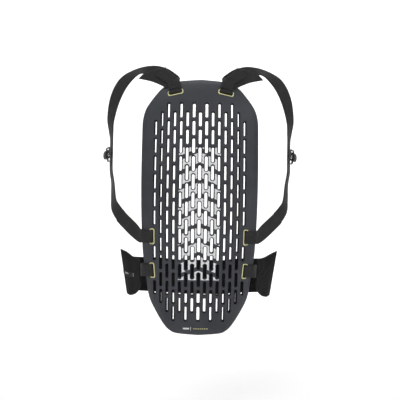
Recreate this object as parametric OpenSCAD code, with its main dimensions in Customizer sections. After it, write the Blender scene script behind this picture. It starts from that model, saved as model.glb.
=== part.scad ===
/* [Plate] */
// Height of the back plate
plate_h = 492; // [440:1:540]
// Width of the back plate at its widest
plate_w = 222; // [200:1:240]
// Thickness of the plate behind the perforated field
plate_t = 17; // [12:0.5:20]
// Radius of the plate's wrap round the back, seen from above
wrap_r = 380; // [300:10:600]

/* [Perforation] */
// Distance between two columns of slots
slot_pitch_x = 12; // [11:0.5:13]
// Distance between two rows of slots
slot_pitch_z = 33.9; // [33:0.1:36]
// Width of the slots in the middle column
slot_w = 6.4; // [5:0.1:7]
// Length of each slot
slot_len = 28.9; // [24:0.1:30]

/* [Webbing] */
// Width of the shoulder and side webbing
web_w = 25; // [22:0.5:27]
// Thickness of one layer of webbing
web_t = 1.9; // [1.2:0.1:2.4]

/* [Adjusters] */
// Height of an adjuster buckle along the strap
adjuster_h = 30; // [26:1:34]
// Thickness of the adjuster's bars
adjuster_bar_t = 3.2; // [2.5:0.1:4]

/* [Belt] */
// Thickness of the padded belt wings
wing_t = 6; // [4:0.5:8]
// Thickness of the elastic belly band
band_t = 3; // [2:0.1:3.4]

/* [Hidden] */
$fn = 32;
left = -1;
right = 1;

charcoal = [0.24, 0.25, 0.27];
web_black = [0.15, 0.15, 0.16];
gloss_black = [0.09, 0.09, 0.1];
pale_yellow = [0.93, 0.9, 0.62];
label_grey = [0.62, 0.62, 0.62];

// Half outline of the plate, [half width, height] as parts of a 222 by 492 plate
outline_w = 222;
outline_h = 492;
outline_half = [
    [0, 246], [50, 241.7], [73, 230.5], [84, 219], [95, 205], [104, 191], [108.5, 178],
    [110.8, 163], [111, 140], [110.8, 50], [109.5, -15], [107.4, -80], [105, -105],
    [99, -158], [94, -180], [83, -202], [72.5, -219], [63, -231.5], [54, -238.8],
    [41, -243.5], [0, -246],
];
outline_steps = 2;

// The plate leans away from the wearer's neck and follows the hollow of the lower back
neck_r = 1100;
lumbar_depth = 19;
lumbar_span = 220;
wrap_angle = 50;
wrap_facets = 180;

// How far back the plate's flat drawing starts, and how deep it is run through
cut_back_y = 90;
cut_depth = 150;

// Heights of the first slot's centre in the odd and the even columns, and slots per column
odd_top_z = 185;
even_top_z = 168;
rows_inner = 12;
rows_even_outer = 11;
outer_column = 7;
// Each column's slots are this much narrower than those one column further in
slot_narrowing = 0.12;

// Webbing slots: centre, tilt, and the liner that rims each one
liner_t = 1.2;
web_slot_corner = 1.6;
liner_proud = 0.2;
web_slot_w = 6;
web_slot_len = 26.5;
top_slot = [-48, 219.2];
top_slot_tilt = 101.6;
side_slot = [-88.2, -54];
side_slot_tilt = 0;
belt_slot = [-88.4, -120];
belt_slot_tilt = 4;

// Room between the layers of webbing, and between the plate and a loop round its rim
tail_gap = 3;
loop_room = 1.8;

// Shoulder strap stations, left side: [outer edge, inner edge], from the plate's top
upper_stations = [
    [[-41.2, 19.5, 251], [-66.7, 19.5, 245.6]], [[-53, 17, 260], [-77, 17, 249]],
    [[-68, 17, 268], [-88, 17, 251]], [[-93, 21, 273], [-98, 19, 251]],
    [[-125, 31, 269], [-117, 19, 256]], [[-158, 40, 253], [-141, 29, 236]],
    [[-179, 52, 221], [-159, 42, 208]], [[-188, 66, 180], [-171, 50, 172]],
    [[-186.5, 80, 152], [-174.5, 59, 150]], [[-184.7, 83.6, 136], [-175.3, 60.4, 136]],
    [[-184.7, 83.6, 105.2], [-175.3, 60.4, 105.2]],
];
lower_stations = [
    [[-184.7, 83.6, 104.8], [-175.3, 60.4, 104.8]], [[-184.7, 83.6, 74], [-175.3, 60.4, 74]],
    [[-180.5, 79, 48], [-170.5, 56.5, 48]], [[-178, 66, 18], [-165, 45, 18]],
    [[-174, 52, -8], [-154, 38, 0]], [[-158, 37, -34], [-140, 26, -18]],
    [[-131, 21, -56], [-122, 17, -31]], [[-113, 14, -66], [-112.8, 14, -40]],
];
top_tail_stations = [
    [[-45, 13.5, 252], [-69.5, 13.5, 246]], [[-56, 11.5, 258.5], [-77, 12, 242]],
    [[-68, 12, 267], [-87, 12, 240]], [[-81.5, 12.5, 267], [-98, 12.5, 241]],
    [[-96, 14, 260], [-109, 14.5, 243.5]], [[-111.5, 15.5, 254.5], [-119, 16, 246]],
];
side_tail_stations = [
    [[-164, 42, -24], [-147, 31, -9]], [[-158, 37, -34], [-140, 26, -18]],
    [[-131, 21, -55], [-122, 17, -32]], [[-117, 15.5, -64], [-116.5, 15.5, -39.5]],
];

// Belt stations, left side: [top edge, bottom edge], from the belt loop to the belly
wing_stations = [
    [[-111.5, 28.5, -109.5], [-110.5, 28.5, -137]], [[-118, 35, -104], [-114.5, 36, -155]],
    [[-129.5, 46, -98], [-123, 47, -170]], [[-143, 57.5, -90.5], [-134.5, 57.5, -175]],
    [[-156, 68.5, -86.5], [-142, 68.5, -173.5]],
];
// The right wing's upper edge runs level out of the rim
right_wing_top_z = [-100.5, -99, -96.5, -91, -86.5];
wing_label_top_z = -124.5;
wing_label_bottom_z = -135.5;
wing_label_t = 0.8;
wing_label_seam = 0.6;
band_start_stations = [
    [[-153.8, 69.9, -91], [-142.6, 69.9, -168]], [[-149, 92, -101], [-143, 92, -172]],
    [[-126, 114, -106.5], [-124, 114, -178]],
];
band_side_station = [[-86, 131, -109.5], [-86, 131, -183]];
belly_top_z = -115;
belly_bottom_z = -188;
belly_flat = 900;
band_overlap = 38;
belly_y_outer = 146;
belly_y_inner = 138.5;
patch_t = 1;
patch_seam = 0.06;
patch_margin = 8;

// Straight stretch of strap that the adjuster slides on
adjuster_at = [-180, 72, 105];
adjuster_turn = 22;
fold_path = [
    [2.7, 1.6], [3.1, 4], [6.5, 6.4], [10.4, 7], [12.8, 3.5], [13.4, -2], [12.4, -7],
    [9.6, -8.6], [6.2, -6.6], [3.1, -4], [2.7, -1.6],
];

// ---- Curves -------------------------------------------------------------

function spline_at(p, i, t) =
    let (
        a = p[max(i - 1, 0)],
        b = p[i],
        c = p[i + 1],
        d = p[min(i + 2, len(p) - 1)]
    )
    (2 * b + (c - a) * t + (2 * a - 5 * b + 4 * c - d) * t * t
        + (3 * b - a - 3 * c + d) * t * t * t) / 2;

function spline(p, steps) = concat(
    [for (i = [0:len(p) - 2]) for (k = [0:steps - 1]) spline_at(p, i, k / steps)],
    [p[len(p) - 1]]
);

function unit(v) = v / norm(v);

function mirrored(points) = [
    for (i = [len(points) - 2:-1:1]) [-points[i][0], points[i][1]]
];

// Body-side surface of the plate at half width 0
function spine_y(z) =
    z > 0 ? z * z / (2 * neck_r) : lumbar_depth * (1 - cos(180 * z / lumbar_span));

function belly_y(x, y0) = y0 - x * x / belly_flat;

// A strip of webbing between two edges, lifted off its own middle surface by lift
module ribbon(stations, thick, lift = 0, steps = 4) {
    edge_a = spline([for (s = stations) s[0]], steps);
    edge_b = spline([for (s = stations) s[1]], steps);
    n = len(edge_a);
    mid = (edge_a + edge_b) / 2;
    points = [
        for (i = [0:n - 1])
            let (
                along = mid[min(i + 1, n - 1)] - mid[max(i - 1, 0)],
                normal = unit(cross(edge_b[i] - edge_a[i], along)),
                low = normal * (lift - thick / 2),
                high = normal * (lift + thick / 2)
            )
            each [edge_a[i] + low, edge_b[i] + low, edge_b[i] + high, edge_a[i] + high]
    ];
    sides = [
        for (i = [0:n - 2]) for (k = [0:3])
            let (a = 4 * i + k, b = 4 * i + (k + 1) % 4)
            each [[a, b, a + 4], [b, b + 4, a + 4]]
    ];
    last = 4 * (n - 1);
    ends = [[0, 2, 1], [0, 3, 2], [last, last + 1, last + 2], [last, last + 2, last + 3]];
    polyhedron(points, concat(sides, ends));
}

// Draws what is modelled on the left side on either side
module on_side(side) {
    if (side == left) children();
    else mirror([1, 0, 0]) children();
}

// ---- Plate --------------------------------------------------------------

module outline() {
    half = spline(outline_half, outline_steps);
    points = concat(half, mirrored(half));
    polygon([for (p = points) [p[0] * plate_w / outline_w, p[1] * plate_h / outline_h]]);
}

module long_hole(width, length) {
    straight = length - width;
    square([width, straight], center = true);
    for (end = [-1, 1]) translate([0, end * straight / 2]) circle(d = width);
}

module column(k) {
    odd = abs(k) % 2 == 1;
    first = odd ? odd_top_z : even_top_z;
    rows = abs(k) == outer_column ? [1, 2, 3, 4, 5, 6, 8, 10]
        : [0:(abs(k) == outer_column - 1 ? rows_even_outer : rows_inner) - 1];
    width = slot_w - slot_narrowing * abs(k);
    for (row = rows)
        translate([k * slot_pitch_x, first - row * slot_pitch_z])
            long_hole(width, slot_len);
}

module web_slot(at, tilt, grow) {
    radius = web_slot_corner + grow;
    width = web_slot_w + 2 * grow;
    length = web_slot_len + 2 * grow;
    translate(at) rotate(tilt - (tilt > 90 ? 180 : 0)) {
        square([width - 2 * radius, length], center = true);
        square([width, length - 2 * radius], center = true);
        for (x = [-1, 1]) for (y = [-1, 1])
            translate([x * (width / 2 - radius), y * (length / 2 - radius)]) circle(radius);
    }
}

module web_slots(grow) {
    for (side = [left, right]) mirror([side > 0 ? 1 : 0, 0]) {
        web_slot(top_slot, top_slot_tilt, grow);
        web_slot(side_slot, side_slot_tilt, grow);
        web_slot(belt_slot, belt_slot_tilt, grow);
    }
}

// Curved skin between two offsets from the body side, wrapped round the back
module shell(outer, inner) {
    heights = [
        -252, -228, -203, -178, -153, -128, -103, -77, -51, -26, 1, 52, 102, 152, 202, 252,
    ];
    profile = concat(
        [for (z = heights) [wrap_r - spine_y(z) + outer, z]],
        [for (i = [len(heights) - 1:-1:0]) [wrap_r - spine_y(heights[i]) - inner, heights[i]]]
    );
    translate([0, wrap_r, 0]) rotate([0, 0, -90 - wrap_angle / 2])
        rotate_extrude(angle = wrap_angle, $fn = wrap_facets) polygon(profile);
}

// Stands a flat drawing up in the plate's plane and runs it right through
module through() {
    translate([0, cut_back_y, 0]) rotate([90, 0, 0]) linear_extrude(cut_depth) children();
}

module back_plate() {
    color(charcoal) intersection() {
        through() difference() {
            outline();
            for (k = [-outer_column:outer_column]) column(k);
            web_slots(liner_t);
        }
        shell(plate_t, 0);
    }
}

module liner(side, at, tilt) {
    color(pale_yellow) on_side(side)
        intersection() {
            through() difference() {
                web_slot(at, tilt, liner_t);
                web_slot(at, tilt, 0);
            }
            shell(plate_t + liner_proud, liner_proud);
        }
}

// ---- Webbing loops round the rim ----------------------------------------

// A flat box from l0 to l1 whose two long sides rise with the plate's slope
module sloped_bar(l0, l1, height, slope) {
    rise = tan(slope);
    polygon([
        [l0, l0 * rise - height / 2], [l1, l1 * rise - height / 2],
        [l1, l1 * rise + height / 2], [l0, l0 * rise + height / 2],
    ]);
}

// A closed band of webbing that goes through a slot and round the plate's rim. Its reach runs
// from the slot to the rim, turned by turn; slope and lean lay it along the plate's surface,
// and its width allows for the lean inside the slot.
module margin_loop(at, mid_y, turn, reach, slope, lean, width) {
    inner_h = plate_t + loop_room;
    leg = web_t / 2;
    translate([at[0], mid_y, at[1]]) rotate([0, turn, 0]) rotate([lean, 0, 0])
        linear_extrude(width, center = true) difference() {
            sloped_bar(-leg, reach + web_t, inner_h + 2 * web_t, slope);
            sloped_bar(leg, reach, inner_h, slope);
        }
}

module top_loop(side) {
    color(web_black) on_side(side)
        margin_loop(top_slot, 16.35, -top_slot_tilt, reach = 24.8, slope = 13.8, lean = -5.5, width = 24);
}

module side_loop(side) {
    color(web_black) on_side(side)
        margin_loop(side_slot, 7.15, 180, reach = 21.3, slope = 14.8, lean = -10.9, width = 23);
}

module belt_loop(side) {
    color(web_black) on_side(side)
        margin_loop(belt_slot, 24, 180, reach = 17.6, slope = 14.8, lean = -15, width = 21.5);
}

// ---- Shoulder straps ----------------------------------------------------

module upper_strap(side) {
    color(web_black) on_side(side) ribbon(upper_stations, web_t);
}

module lower_strap(side) {
    color(web_black) on_side(side) ribbon(lower_stations, web_t);
}

module top_tail(side) {
    color(web_black) on_side(side) ribbon(top_tail_stations, web_t);
}

module side_tail(side) {
    color(web_black) on_side(side) ribbon(side_tail_stations, web_t, tail_gap);
}

// ---- Adjusters ----------------------------------------------------------

// Puts a piece drawn flat on the strap, outwards being -Y, at the adjuster
module at_adjuster(side) {
    on_side(side) translate(adjuster_at) rotate([0, 0, -(90 - adjuster_turn)]) children();
}

// The side rails reach further in than the bars, and the bars run into them
rail_w = 3;
rail_depth = 8.6;
rail_gap = 1;
rail_in = 2.4;
bar_y = -5.6;
bar_bite = 0.2;

module cross_bar(z, length) {
    translate([0, bar_y, z]) rotate([0, 90, 0])
        cylinder(h = length, d = adjuster_bar_t, center = true);
}

module adjuster_frame(side) {
    rail_x = web_w / 2 + rail_gap + rail_w / 2;
    color(gloss_black) at_adjuster(side) {
        for (x = [-1, 1])
            translate([x * rail_x, bar_y + rail_in, 0])
                cube([rail_w, rail_depth, adjuster_h], center = true);
        for (z = [-1, 1])
            cross_bar(z * (adjuster_h - adjuster_bar_t) / 2, 2 * (rail_x - rail_w / 2 + bar_bite));
    }
}

module adjuster_bar(side) {
    color(gloss_black) at_adjuster(side) cross_bar(0, web_w + 2 * rail_gap);
}

// Slack webbing that goes round the middle bar and bulges outwards through the frame.
// Points are [outwards from the strap's middle, up].
module webbing_fold(side) {
    path = spline(fold_path, 4);
    n = len(path);
    normals = [
        for (i = [0:n - 1])
            let (d = unit(path[min(i + 1, n - 1)] - path[max(i - 1, 0)])) [d[1], -d[0]] * web_t / 2
    ];
    band = concat(
        [for (i = [0:n - 1]) path[i] + normals[i]],
        [for (i = [n - 1:-1:0]) path[i] - normals[i]]
    );
    color(web_black) at_adjuster(side) rotate([0, 0, -90]) rotate([90, 0, 0])
        linear_extrude(web_w, center = true) polygon(band);
}

// ---- Belt ---------------------------------------------------------------

module belt_wing(side) {
    stations = [
        for (i = [0:len(wing_stations) - 1])
            let (top = wing_stations[i][0], bottom = wing_stations[i][1])
            [side == left ? top : [top[0], top[1], right_wing_top_z[i]], bottom]
    ];
    color(web_black) on_side(side) ribbon(stations, wing_t, -wing_t / 4, 3);
}

function belly_station(x, y0) =
    [[x, belly_y(x, y0), belly_top_z], [x, belly_y(x, y0), belly_bottom_z]];

module belly_band(side) {
    y0 = side == left ? belly_y_outer : belly_y_inner;
    stations = concat(
        band_start_stations,
        [band_side_station],
        [for (x = [-45:15:band_overlap]) belly_station(x, y0)]
    );
    color(web_black) on_side(side) ribbon(stations, band_t, 0, 3);
}

module patch(y0) {
    stations = [
        for (x = [-30:15:30])
            let (y = belly_y(x, y0))
            [[x, y, belly_top_z - patch_margin], [x, y, belly_bottom_z + patch_margin]]
    ];
    ribbon(stations, patch_t, 0, 3);
}

module hook_patch_left() {
    color(gloss_black) patch(belly_y_outer - (band_t + patch_t) / 2 - patch_seam);
}

module loop_patch_right() {
    color(web_black) patch(belly_y_inner + (band_t + patch_t) / 2 + patch_seam);
}

// Where the line between a station's two edges is at height z
function at_height(station, z) =
    let (top = station[0], bottom = station[1])
    top + (bottom - top) * (z - top[2]) / (bottom[2] - top[2]);

module wing_label_left() {
    stations = [
        for (i = [2:4])
            [at_height(wing_stations[i], wing_label_top_z),
                at_height(wing_stations[i], wing_label_bottom_z)]
    ];
    color(label_grey) ribbon(stations, wing_label_t, -wing_t * 3 / 4 - wing_label_t / 2 - wing_label_seam, 3);
}

// ---- Assembly -----------------------------------------------------------

back_plate();
liner(left, top_slot, top_slot_tilt);  // top_liner_left
liner(right, top_slot, top_slot_tilt);  // top_liner_right
liner(left, side_slot, side_slot_tilt);  // side_liner_left
liner(right, side_slot, side_slot_tilt);  // side_liner_right
liner(left, belt_slot, belt_slot_tilt);  // belt_liner_left
liner(right, belt_slot, belt_slot_tilt);  // belt_liner_right
top_loop(left);  // top_loop_left
top_loop(right);  // top_loop_right
side_loop(left);  // side_loop_left
side_loop(right);  // side_loop_right
belt_loop(left);  // belt_loop_left
belt_loop(right);  // belt_loop_right
upper_strap(left);  // upper_strap_left
upper_strap(right);  // upper_strap_right
top_tail(left);  // top_tail_left
top_tail(right);  // top_tail_right
lower_strap(left);  // lower_strap_left
lower_strap(right);  // lower_strap_right
side_tail(left);  // side_tail_left
side_tail(right);  // side_tail_right
adjuster_frame(left);  // adjuster_frame_left
adjuster_frame(right);  // adjuster_frame_right
adjuster_bar(left);  // adjuster_bar_left
adjuster_bar(right);  // adjuster_bar_right
webbing_fold(left);  // webbing_fold_left
webbing_fold(right);  // webbing_fold_right
belt_wing(left);  // belt_wing_left
belt_wing(right);  // belt_wing_right
belly_band(left);  // belly_band_left
belly_band(right);  // belly_band_right
hook_patch_left();
loop_patch_right();
wing_label_left();
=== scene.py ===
import math

import bmesh
import bpy
import numpy as np
from mathutils import Matrix, Vector
from mathutils.geometry import delaunay_2d_cdt


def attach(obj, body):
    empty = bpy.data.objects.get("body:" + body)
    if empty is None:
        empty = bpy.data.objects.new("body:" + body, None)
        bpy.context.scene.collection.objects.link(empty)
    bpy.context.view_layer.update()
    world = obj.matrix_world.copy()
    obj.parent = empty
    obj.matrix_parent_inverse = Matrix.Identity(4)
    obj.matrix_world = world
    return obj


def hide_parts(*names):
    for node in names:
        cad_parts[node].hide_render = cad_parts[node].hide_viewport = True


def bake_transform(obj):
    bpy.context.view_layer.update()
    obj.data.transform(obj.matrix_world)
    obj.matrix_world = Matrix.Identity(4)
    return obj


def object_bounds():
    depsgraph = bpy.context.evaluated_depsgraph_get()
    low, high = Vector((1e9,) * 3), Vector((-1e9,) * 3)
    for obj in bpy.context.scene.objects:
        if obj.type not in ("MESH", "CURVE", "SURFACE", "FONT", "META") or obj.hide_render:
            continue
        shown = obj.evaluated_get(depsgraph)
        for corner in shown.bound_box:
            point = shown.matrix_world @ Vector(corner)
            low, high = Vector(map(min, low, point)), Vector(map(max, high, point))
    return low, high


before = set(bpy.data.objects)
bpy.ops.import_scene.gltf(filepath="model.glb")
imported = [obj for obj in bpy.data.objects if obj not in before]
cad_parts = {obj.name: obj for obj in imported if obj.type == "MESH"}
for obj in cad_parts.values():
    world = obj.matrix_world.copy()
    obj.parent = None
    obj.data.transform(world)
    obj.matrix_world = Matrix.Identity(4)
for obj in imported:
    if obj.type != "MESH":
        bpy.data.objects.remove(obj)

CAD_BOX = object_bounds()
MM = 0.001
LEFT, RIGHT = -1, 1
SIDES = {"left": LEFT, "right": RIGHT}

# The plate's own dimensions, in millimetres, as the CAD model has them
PLATE_T = 17.0
WRAP_R = 380.0
NECK_R = 1100.0
LUMBAR_DEPTH, LUMBAR_SPAN = 19.0, 220.0
SLOT_PITCH_X, SLOT_PITCH_Z = 12.0, 33.9
SLOT_W, SLOT_LEN, SLOT_NARROWING = 6.4, 28.9, 0.12
ODD_TOP_Z, EVEN_TOP_Z = 185.0, 168.0
OUTER_COLUMN = 7
OUTLINE_HALF = [
    (0, 246), (50, 241.7), (73, 230.5), (84, 219), (95, 205), (104, 191), (108.5, 178),
    (110.8, 163), (111, 140), (110.8, 50), (109.5, -15), (107.4, -80), (105, -105),
    (99, -158), (94, -180), (83, -202), (72.5, -219), (63, -231.5), (54, -238.8),
    (41, -243.5), (0, -246),
]
WEB_SLOT_W, WEB_SLOT_LEN, WEB_SLOT_CORNER, LINER_T = 6.0, 26.5, 1.6, 1.2
# Webbing slots on the left side: centre x and z, and the long axis's tilt from upright
WEB_SLOTS = {"top": (-48.0, 219.2, -78.4), "side": (-88.2, -54.0, 0.0), "belt": (-88.4, -120.0, 4.0)}
WEB_W, WEB_T = 25.0, 1.9
NARROW = 8.0  # slots narrower than this are the plate's own, the others take webbing


# ---- Curves and surfaces --------------------------------------------------

def spline(points, steps):
    """Points on the smooth curve through the given ones, steps to each interval."""
    p = np.asarray(points, float)
    out = []
    for i in range(len(p) - 1):
        a, b, c, d = p[max(i - 1, 0)], p[i], p[i + 1], p[min(i + 2, len(p) - 1)]
        for t in np.arange(steps) / steps:
            out.append((2 * b + (c - a) * t + (2 * a - 5 * b + 4 * c - d) * t * t
                        + (3 * b - a - 3 * c + d) * t ** 3) / 2)
    out.append(p[-1])
    return np.array(out)


def spine_y(z):
    z = np.asarray(z, float)
    lumbar = LUMBAR_DEPTH * (1 - np.cos(math.pi * z / LUMBAR_SPAN))
    return np.where(z > 0, z * z / (2 * NECK_R), lumbar)


def plate_y(x, z, off):
    """Y of the plate's surface, off millimetres out from its body side."""
    r = WRAP_R - spine_y(z) + off
    return WRAP_R - np.sqrt(r * r - np.asarray(x, float) ** 2)


def unit(v):
    return v / np.maximum(np.linalg.norm(v, axis=-1, keepdims=True), 1e-9)


# ---- Meshes ---------------------------------------------------------------

def add_mesh(name, verts_mm, faces, uvs=None, slots=None):
    """A smooth-shaded object from points and cloth UVs in millimetres; slots are material indices."""
    mesh = bpy.data.meshes.new(name)
    mesh.from_pydata((np.asarray(verts_mm, float) * MM).tolist(), [], [list(f) for f in faces])
    if slots is not None:
        mesh.polygons.foreach_set("material_index", slots)
    mesh.polygons.foreach_set("use_smooth", [True] * len(mesh.polygons))
    if uvs is not None:
        layer = mesh.uv_layers.new(name="cloth")
        loop_verts = np.zeros(len(mesh.loops), int)
        mesh.loops.foreach_get("vertex_index", loop_verts)
        layer.data.foreach_set("uv", (np.asarray(uvs, float)[loop_verts] * MM).ravel())
    mesh.validate()
    mesh.update()
    obj = bpy.data.objects.new(name, mesh)
    bpy.context.collection.objects.link(obj)
    return obj


def join(name, parts):
    """One mesh from (verts, faces) lists."""
    verts, faces, base = [], [], 0
    for v, f in parts:
        verts += list(map(tuple, v))
        faces += [[base + i for i in face] for face in f]
        base += len(v)
    return add_mesh(name, verts, faces)


def flipped(points, side):
    """A left-side list of points, on either side."""
    p = np.array(points, float)
    if side == RIGHT:
        p[..., 0] *= -1
    return p


# ---- Materials ------------------------------------------------------------

class Nodes:
    """A short way to write a material's node tree."""

    def __init__(self, name):
        self.mat = bpy.data.materials.new(name)
        self.mat.use_nodes = True
        self.tree = self.mat.node_tree
        self.shader = self.tree.nodes["Principled BSDF"]

    def add(self, kind, **settings):
        node = self.tree.nodes.new(kind)
        for key, value in settings.items():
            setattr(node, key, value)
        return node

    def link(self, source, target):
        self.tree.links.new(source, target)

    def feed(self, socket, value):
        if hasattr(value, "is_output"):
            self.link(value, socket)
        else:
            socket.default_value = value

    def math(self, op, a, b=0.0):
        node = self.add("ShaderNodeMath", operation=op)
        for socket, value in zip(node.inputs, (a, b)):
            self.feed(socket, value)
        return node.outputs[0]

    def ramp(self, value, low, high, to_low=0.0, to_high=1.0):
        node = self.add("ShaderNodeMapRange", interpolation_type="SMOOTHSTEP")
        for socket, v in zip(node.inputs, (value, low, high, to_low, to_high)):
            self.feed(socket, v)
        return node.outputs[0]

    def mix(self, factor, a, b):
        node = self.add("ShaderNodeMix", data_type="RGBA")
        self.feed(node.inputs[0], factor)
        self.feed(node.inputs[6], a if hasattr(a, "is_output") else (*a, 1))
        self.feed(node.inputs[7], b if hasattr(b, "is_output") else (*b, 1))
        return node.outputs[2]

    def noise(self, vector, scale, detail=3.0):
        node = self.add("ShaderNodeTexNoise")
        self.link(vector, node.inputs["Vector"])
        node.inputs["Scale"].default_value = scale
        node.inputs["Detail"].default_value = detail
        return node.outputs[0]

    def bump(self, heights, distance):
        """Chains one bump per (height, strength) pair."""
        normal = None
        for height, strength in heights:
            node = self.add("ShaderNodeBump")
            node.inputs["Strength"].default_value = strength
            node.inputs["Distance"].default_value = distance
            self.link(height, node.inputs["Height"])
            if normal is not None:
                self.link(normal, node.inputs["Normal"])
            normal = node.outputs[0]
        self.link(normal, self.shader.inputs["Normal"])

    def set(self, **values):
        for key, value in values.items():
            self.feed(self.shader.inputs[key.replace("_", " ")], value)

    def coords(self, which):
        node = self.add("ShaderNodeTexCoord")
        return node.outputs[which]

    def axes(self, vector):
        node = self.add("ShaderNodeSeparateXYZ")
        self.link(vector, node.inputs[0])
        return node.outputs[0], node.outputs[1], node.outputs[2]


def moulded_plastic(name, color, printed=False, rough=0.5, specular=0.25):
    """Satin moulded foam: fine pebble grain, faint cloudiness, and the print on its face."""
    n = Nodes(name)
    where = n.coords("Object")
    cloud = n.noise(where, 14, 4)
    grain = n.noise(where, 2600, 2)
    pebble = n.add("ShaderNodeTexVoronoi")
    n.link(where, pebble.inputs["Vector"])
    pebble.inputs["Scale"].default_value = 900
    dark = tuple(c * 0.86 for c in color)
    light = tuple(min(c * 1.16, 1) for c in color)
    shade = n.mix(n.ramp(cloud, 0.3, 0.7), dark, light)
    finish = n.ramp(grain, 0.2, 0.8, rough - 0.07, rough + 0.07)
    if printed:
        mask, mark, dashes = spine_print(n, where)
        worn = n.math("MULTIPLY", mask, n.ramp(n.noise(where, 700, 3), 0.2, 0.36, 0.86, 1.0))
        shade = n.mix(worn, shade, (0.94, 0.96, 0.97))
        shade = n.mix(mark, shade, (0.8, 0.82, 0.82))
        shade = n.mix(dashes, shade, (0.72, 0.68, 0.3))
        finish = n.math("ADD", finish, n.math("MULTIPLY", mask, -0.06))
    n.set(Base_Color=shade, Roughness=finish)
    n.shader.inputs["Specular IOR Level"].default_value = specular
    n.bump([(pebble.outputs["Distance"], 0.12), (grain, 0.1)], 0.0004)
    return n.mat


# The print, in metres: a stack of chevrons, and near the bottom edge a small mark made of a
# bar, a line and a row of dashes, each as (centre x, half width, half height)
PRINT_TOP, PRINT_BOTTOM, PRINT_HALF = 0.113, -0.137, 0.039
CHEVRON_PITCH, CHEVRON_PART, CHEVRON_RISE = 0.0278, 0.68, 0.42
MARK_Z = -0.2325
MARK_BAR, MARK_LINE = (-0.0225, 0.006, 0.0015), (-0.0135, 0.0004, 0.0033)
MARK_DASHES = (0.0058, 0.0148, 0.0009)
DASH_PITCH, DASH_PART = 0.0042, 0.55


def spine_print(n, where):
    """Masks of the white stack of chevrons, and of the small mark near the bottom edge."""
    x, _, z = n.axes(where)
    across = n.math("ABSOLUTE", x)
    band = n.math("ADD", n.math("SUBTRACT", z, PRINT_BOTTOM), n.math("MULTIPLY", across, CHEVRON_RISE))
    band = n.math("FRACT", n.math("DIVIDE", band, CHEVRON_PITCH))
    inside = n.math("MULTIPLY", n.math("LESS_THAN", z, PRINT_TOP),
                    n.math("GREATER_THAN", z, PRINT_BOTTOM))
    inside = n.math("MULTIPLY", inside, n.math("LESS_THAN", across, PRINT_HALF))
    chevron = n.math("MULTIPLY", n.math("LESS_THAN", band, CHEVRON_PART), inside)

    def patch(centre, half_width, half_height):
        """Mask of an upright rectangle in the small mark's row."""
        beside = n.math("ABSOLUTE", n.math("SUBTRACT", x, centre))
        above = n.math("ABSOLUTE", n.math("SUBTRACT", z, MARK_Z))
        return n.math("MULTIPLY", n.math("LESS_THAN", beside, half_width),
                      n.math("LESS_THAN", above, half_height))

    mark = n.math("MAXIMUM", patch(*MARK_BAR), patch(*MARK_LINE))
    dash = n.math("LESS_THAN", n.math("FRACT", n.math("DIVIDE", x, DASH_PITCH)), DASH_PART)
    dash = n.math("MULTIPLY", dash, patch(*MARK_DASHES))
    return chevron, mark, dash


def woven(name, color, rib=0.0011, pick=0.0008, sheen=0.35, depth=0.35, contrast=0.5):
    """Webbing: warp ribs along the strap, crossed by picks, with fuzz and uneven dye."""
    n = Nodes(name)
    uv = n.coords("UV")
    u, v, _ = n.axes(uv)
    where = n.coords("Object")
    column = n.math("FLOOR", n.math("DIVIDE", u, rib))
    stagger = n.math("MULTIPLY", n.math("MODULO", n.math("ABSOLUTE", column), 2.0), 0.5)
    warp = n.math("ABSOLUTE", n.math("SINE", n.math("MULTIPLY", u, math.pi / rib)))
    along = n.math("ADD", n.math("DIVIDE", v, pick * 2), stagger)
    over = n.math("ABSOLUTE", n.math("SINE", n.math("MULTIPLY", along, math.pi)))
    weave = n.math("MULTIPLY", warp, over)
    fuzz = n.noise(where, 3000, 2)
    dye = n.noise(where, 60, 3)
    dark = tuple(c * (1 - contrast) for c in color)
    light = tuple(c * (1 + contrast) for c in color)
    shade = n.mix(n.ramp(weave, 0.1, 0.9), dark, light)
    faded = tuple(c * 1.25 for c in color)
    shade = n.mix(n.math("MULTIPLY", n.ramp(dye, 0.45, 0.7), 0.5), shade, faded)
    n.set(Base_Color=shade, Roughness=n.ramp(fuzz, 0.2, 0.8, 0.62, 0.82))
    n.shader.inputs["Sheen Weight"].default_value = sheen
    n.shader.inputs["Sheen Roughness"].default_value = 0.45
    n.shader.inputs["Specular IOR Level"].default_value = 0.2
    n.bump([(weave, depth), (fuzz, 0.15)], 0.0004)
    return n.mat


def glossy_plastic(name, color, rough=0.25):
    """Injection-moulded plastic with faint flow marks and rubbed patches."""
    n = Nodes(name)
    where = n.coords("Object")
    flow = n.noise(where, 180, 4)
    scuff = n.noise(where, 1200, 2)
    worn = tuple(min(c * 1.5 + 0.01, 1) for c in color)
    n.set(Base_Color=n.mix(n.ramp(scuff, 0.62, 0.75), color, worn),
          Roughness=n.ramp(flow, 0.3, 0.7, rough, rough + 0.14))
    n.bump([(flow, 0.08), (scuff, 0.05)], 0.0003)
    return n.mat


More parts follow.
